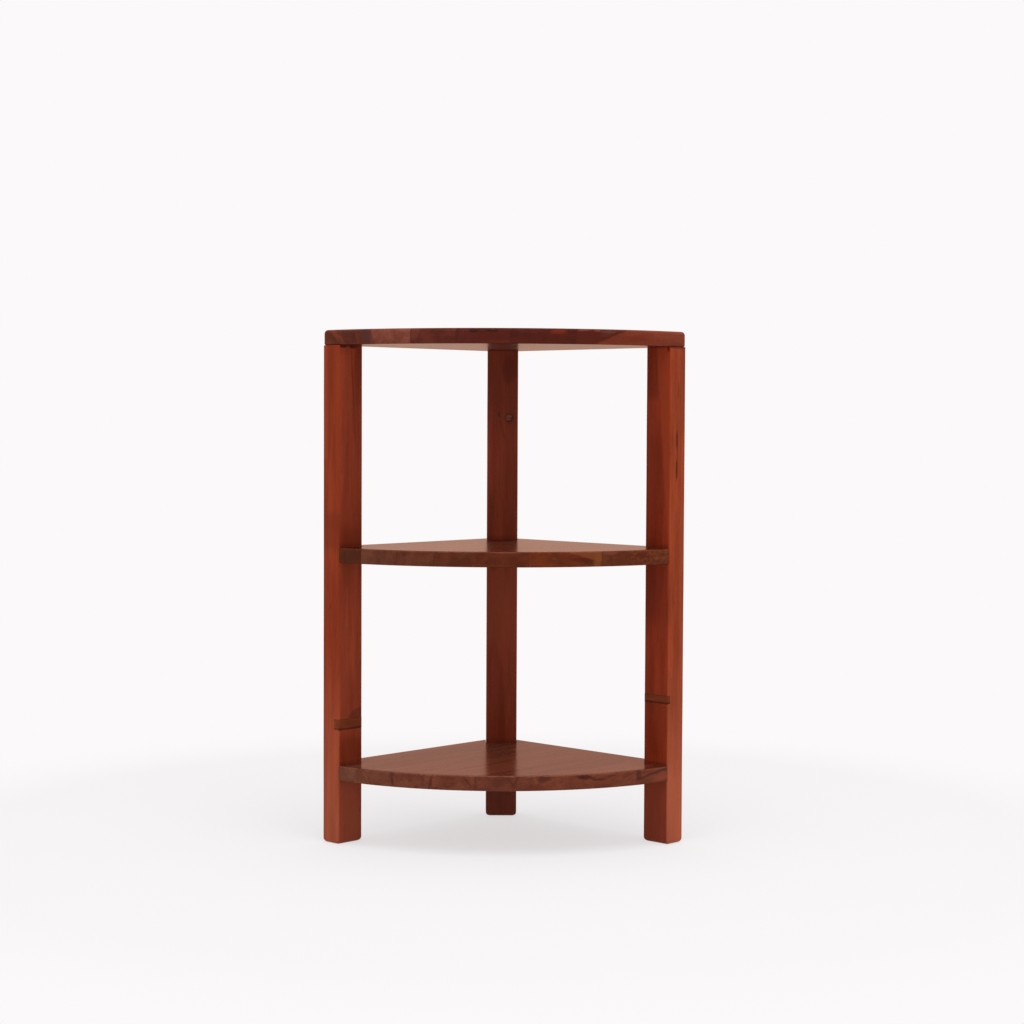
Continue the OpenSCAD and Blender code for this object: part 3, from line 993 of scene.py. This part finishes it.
def filler_wood(node, along):
    """Wood of a filler strip, with painted shade along its lower and upper edges, in the gaps to its slot"""
    low, high = node_box(node, CORNER)
    wood = Wood(f"{node}_wood", CORNER, along, 5 + along * 3)
    colour = wood.figure(tone_of(seen(*FILLER_TONES[node])), 8 * MM, FAR_HEART)
    height = wood.warped(wood.place, 110, 1.5, 1 * MM).axis("Z")
    # Painted shade in the gaps along the lower and upper edges of the strip
    lines = [
        Mark(INK, 0, low.z / MM + 0.4, 1000, 0.8, 0, 0.6, 1.4),
        Mark(INK, 0, high.z / MM - 0.2, 1000, 0.5, 0, 0.3, 1.2),
    ]
    return wood.lacquered(wood.add_marks(colour, lines, height, height), SATIN)


def zinc():
    """Bright zinc on steel, a little clouded"""
    material = bpy.data.materials.new("zinc_plate")
    material.use_nodes = True
    start = Shade(material.node_tree)
    place = start.node("TexCoord", {}, {}, "Object")
    cloud = start.node("TexNoise", {}, {"Vector": place, "Scale": 900.0, "Detail": 3.0})
    stops = [(0.3, (0.42, 0.42, 0.40)), (0.7, (0.66, 0.65, 0.61))]
    colour = cloud.node("ValToRGB", {"stops": stops}, {"Fac": cloud})
    surface = material.node_tree.nodes["Principled BSDF"]
    material.node_tree.links.new(colour.socket, surface.inputs["Base Color"])
    material.node_tree.links.new(cloud.between(0.2, 0.8, 0.22, 0.4).socket, surface.inputs["Roughness"])
    surface.inputs["Metallic"].default_value = 1.0
    return material


# Light, floor and camera

BACKDROP = (0.965, 0.947, 0.956)
PAPER = (0.93, 0.915, 0.92)
WORLD_LIGHT = 0.66
FLOOR_RADIUS = 40
FLOOR_DROP = 0.1 * MM
# How much of the backdrop's glow the camera sees in the floor, and where the floor turns into the backdrop
FLOOR_GLOW = 0.65
PAPER_END = (0.3, 0.9)
# Name, size, power, place and aim of each lamp
LAMPS = (
    ("overhead", 1.4, 14, (0.1, -0.5, 1.9), (0, 0, 0.2)),
    ("front", 1.2, 8, (1.3, -3.1, 0.9), (0, 0, 0.3)),
)
CAMERA_PLACE = (-37.10 * MM, -2626.39 * MM, 505.54 * MM)
CAMERA_YAW, CAMERA_PITCH, CAMERA_ROLL = -1.0366, -2.4644, 0.2604
LENS = 75.838


def ray(start, kind):
    return start.node("LightPath", {}, {}, f"Is {kind} Ray")


def make_world():
    """Even light, and a white backdrop for whatever looks at it"""
    world = bpy.data.worlds.new("studio")
    bpy.context.scene.world = world
    world.use_nodes = True
    tree = world.node_tree
    tree.nodes.clear()
    start = Shade(tree)
    looked_at = start.maths("MAXIMUM", ray(start, "Camera"), ray(start, "Glossy"))
    shown = start.maths("MAXIMUM", looked_at, ray(start, "Transmission"))
    light = start.node("Background", {}, {"Color": (1, 1, 1, 1), "Strength": WORLD_LIGHT})
    backdrop = start.node("Background", {}, {"Color": (*BACKDROP, 1), "Strength": 1.0})
    both = start.node("MixShader", {}, {0: shown, 1: light, 2: backdrop})
    output = tree.nodes.new("ShaderNodeOutputWorld")
    tree.links.new(both.socket, output.inputs["Surface"])


def make_floor():
    """White paper that turns into the backdrop a little way out"""
    bpy.ops.object.select_all(action="DESELECT")
    bpy.ops.mesh.primitive_circle_add(
        vertices=96, radius=FLOOR_RADIUS, fill_type="NGON", location=(0, 0, -FLOOR_DROP))
    floor = bpy.context.object
    floor.name = "floor"
    material = bpy.data.materials.new("floor_paper")
    material.use_nodes = True
    tree = material.node_tree
    tree.nodes.clear()
    start = Shade(tree)
    place = start.node("TexCoord", {}, {}, "Object")
    shown = start.maths("MAXIMUM", ray(start, "Camera") * FLOOR_GLOW, ray(start, "Glossy"))
    share = start.maths("MAXIMUM", place.length().between(*PAPER_END), shown)
    paper = start.node("BsdfDiffuse", {}, {"Color": (*PAPER, 1)})
    glow = start.node("Emission", {}, {"Color": (*BACKDROP, 1), "Strength": 1.0})
    both = start.node("MixShader", {}, {0: share, 1: paper, 2: glow})
    output = tree.nodes.new("ShaderNodeOutputMaterial")
    tree.links.new(both.socket, output.inputs["Surface"])
    floor.data.materials.append(material)


def softbox(name, size, power, place, aim):
    """A soft square lamp, which the camera and the lacquer don't see"""
    lamp = bpy.data.lights.new(name, "AREA")
    lamp.shape = "SQUARE"
    lamp.size = size
    lamp.energy = power
    box = bpy.data.objects.new(name, lamp)
    bpy.context.collection.objects.link(box)
    box.location = place
    box.rotation_euler = (Vector(aim) - Vector(place)).to_track_quat("-Z", "Y").to_euler()
    box.visible_camera = False
    box.visible_glossy = False


def make_camera():
    """The photograph's point of view"""
    data = bpy.data.cameras.new("camera")
    data.lens = LENS
    data.sensor_width = 36
    camera = bpy.data.objects.new("camera", data)
    bpy.context.collection.objects.link(camera)
    turn = (Matrix.Rotation(radians(CAMERA_YAW), 4, "Z")
            @ Matrix.Rotation(radians(90 + CAMERA_PITCH), 4, "X")
            @ Matrix.Rotation(radians(CAMERA_ROLL), 4, "Z"))
    camera.matrix_world = Matrix.Translation(CAMERA_PLACE) @ turn
    bpy.context.scene.camera = camera


# Putting the rack together

# Cracks in the right post's tip face: place across it, half width and depth, then heights and half lengths
CRACK_SIDE = 16.5 * MM
CRACK_SIZE = (0.8 * MM, 0.45 * MM)
CRACKS = ((482 * MM, 9.5 * MM), (446 * MM, 10.5 * MM))
# The groove round the plug, at its mouth and below, and the plug's own eased edge
GROOVE_MOUTH = 0.3 * MM
GROOVE = 0.15 * MM
PLUG_EASE = 0.3 * MM
PLUG_SINK = 0.1 * MM


def plug_size():
    """Middle of the plug's face, its radius and its length"""
    low, high = node_box("post_plug")
    middle = (low + high) / 2
    return Vector((middle.x, low.y, middle.z)), (high.x - low.x) / 2, high.y - low.y


def crack_cutters():
    """Cutters for the two cracks in the right post"""
    wide, deep = CRACK_SIZE
    for height, tall in CRACKS:
        yield spindle((CRACK_SIDE, ARM, height), (wide, deep, tall))


def plug_hole():
    """Cutter for the plug's hole, with the groove round it"""
    face, radius, length = plug_size()
    radii = [radius + GROOVE_MOUTH, radius + GROOVE, radius + GROOVE]
    return rod(radii, [-PAST, GROOVE_MOUTH, length], face, (0, 1, 0))


def make_posts():
    """The three posts, with their slots, the cracks and the hole for the plug cut"""
    left = shape_post("left_post", CORNER)
    cut(left, *slot_cutters("left_filler"))
    right = shape_post("right_post", CORNER)
    cut(right, *slot_cutters("right_filler"))
    for cutter in crack_cutters():
        cut(right, cutter)
    back = shape_post("back_post", ROOM)
    cut(back, plug_hole())
    posts = (("left_post", left, CORNER), ("right_post", right, CORNER), ("back_post", back, ROOM))
    for node, post, space in posts:
        sand_by_hand(post)
        carry(post, space)
        finish_piece(post, node, post_wood(node, space))


def make_fillers():
    """The two strips let into the front posts"""
    for node, along in (("left_filler", 0), ("right_filler", 1)):
        strip = carry(shape_filler(node), CORNER)
        finish_piece(strip, node, filler_wood(node, along))


def make_plug():
    """The plug, with an eased edge, just below the face of the back post"""
    face, radius, length = plug_size()
    depths = [PLUG_SINK, PLUG_SINK + PLUG_EASE, length - PLUG_SINK]
    plug = rod([radius - PLUG_EASE, radius, radius], depths, face, (0, 1, 0))
    plug.name = "post_plug_disc"
    finish_piece(plug, "post_plug", plug_wood(face))


def make_boards():
    """The top and the two shelves, stave by stave"""
    for board in BOARDS:
        is_top = board == "top"
        slab = shape_board(board, TOP_ROUND if is_top else BOARD_ROUND, CORNER_ROUND if is_top else 0)
        for n, stave in enumerate(shape_staves(board, slab), 1):
            finish_piece(stave, f"{board}_stave_{n}", stave_wood(board, n))


def dress_hardware():
    """Gives the dowels and the screws, which stay as the CAD has them, their own materials"""
    for node, material in (("top_dowels", beech()), ("shelf_screws", zinc())):
        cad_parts[node].data.materials[0] = material


bpy.context.scene.view_settings.view_transform = "Standard"
make_camera()
make_world()
make_floor()
for lamp in LAMPS:
    softbox(*lamp)
make_posts()
make_fillers()
make_plug()
make_boards()
dress_hardware()
